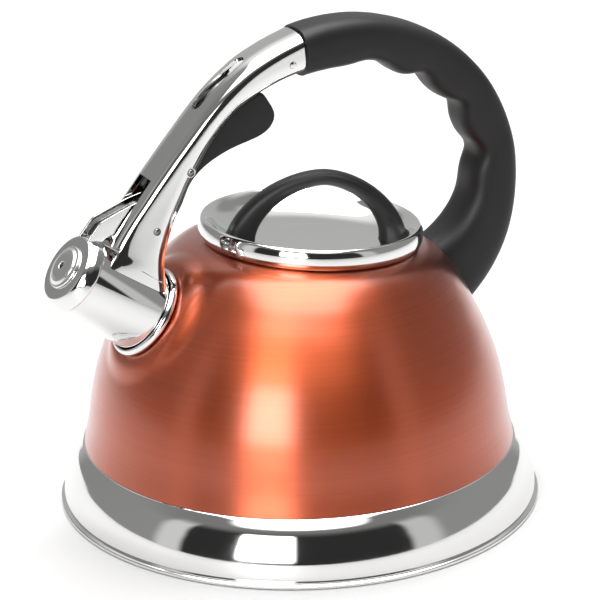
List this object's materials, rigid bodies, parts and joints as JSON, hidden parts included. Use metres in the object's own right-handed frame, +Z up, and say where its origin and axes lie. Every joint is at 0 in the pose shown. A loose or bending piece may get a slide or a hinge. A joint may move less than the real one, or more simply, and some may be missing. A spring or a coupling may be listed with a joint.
{
  "type": "stovetop whistling kettle",
  "caption": "Domed stovetop kettle with a flared base, loop handle, lift-off lid and a spout whistle cap raised by a trigger under the handle.",
  "frame": {"origin": "centre of the flat base's underside", "axes": "+Z up; the handle, spout and whistle lie in the XZ plane, with the spout towards -X and the handle's foot towards +X"},
  "size_m": [0.2295, 0.22, 0.2212],
  "materials": {
    "copper": "brushed round the body and lacquered, copper coloured",
    "polished": "mirror polished steel",
    "steel": "plain drawn or pressed steel",
    "aluminium": "plain rolled core",
    "black": "satin moulded, heat resistant",
    "seal": "matte silicone"
  },
  "bodies": {
    "kettle": {"body_shell": "copper", "base_pan": "polished", "base_core": "aluminium", "base_plate": "steel", "spout_tube": "polished", "spout_collar": "polished", "arm_channel": "polished", "arm_saddle": "steel", "grip": "black", "grip_tang": "steel", "tang_rivet": "polished", "rear_bracket": "steel", "rear_screw": "steel", "trigger_pin": "polished", "trigger_spring": "steel", "whistle_pin": "polished", "whistle_spacer_left": "steel", "whistle_spacer_right": "steel"},
    "lid": {"lid_shell": "polished", "lid_plug": "steel", "lid_handle": "black", "lid_screw_front": "steel", "lid_screw_rear": "steel", "lid_washer_front": "steel", "lid_washer_rear": "steel"},
    "trigger": {"trigger": "black"},
    "whistle": {"whistle_lever": "polished", "link_stud": "steel", "whistle_cap": "polished", "whistle_button": "polished", "whistle_plate": "steel", "cap_seal": "seal"}
  },
  "joints": [
    {"name": "lid_lift", "type": "slide", "parent": "kettle", "child": "lid", "axis": [0.0732, 0, 0.9973], "range_m": [0, 0.025]},
    {"name": "trigger_hinge", "type": "hinge", "parent": "kettle", "child": "trigger", "pos_m": [-0.0552, 0, 0.1637], "axis": [0, -1, 0], "range_deg": [0, 13], "stiffness_Nm_per_rad": 0.03, "springref_deg": -5.73},
    {"name": "whistle_hinge", "type": "hinge", "parent": "kettle", "child": "whistle", "pos_m": [-0.0724, 0, 0.1399], "axis": [0, 1, 0], "range_deg": [0, 33]}
  ],
  "couplings": [
    {"joint": "whistle_hinge", "follows": "trigger_hinge", "ratio": 2.5}
  ]
}
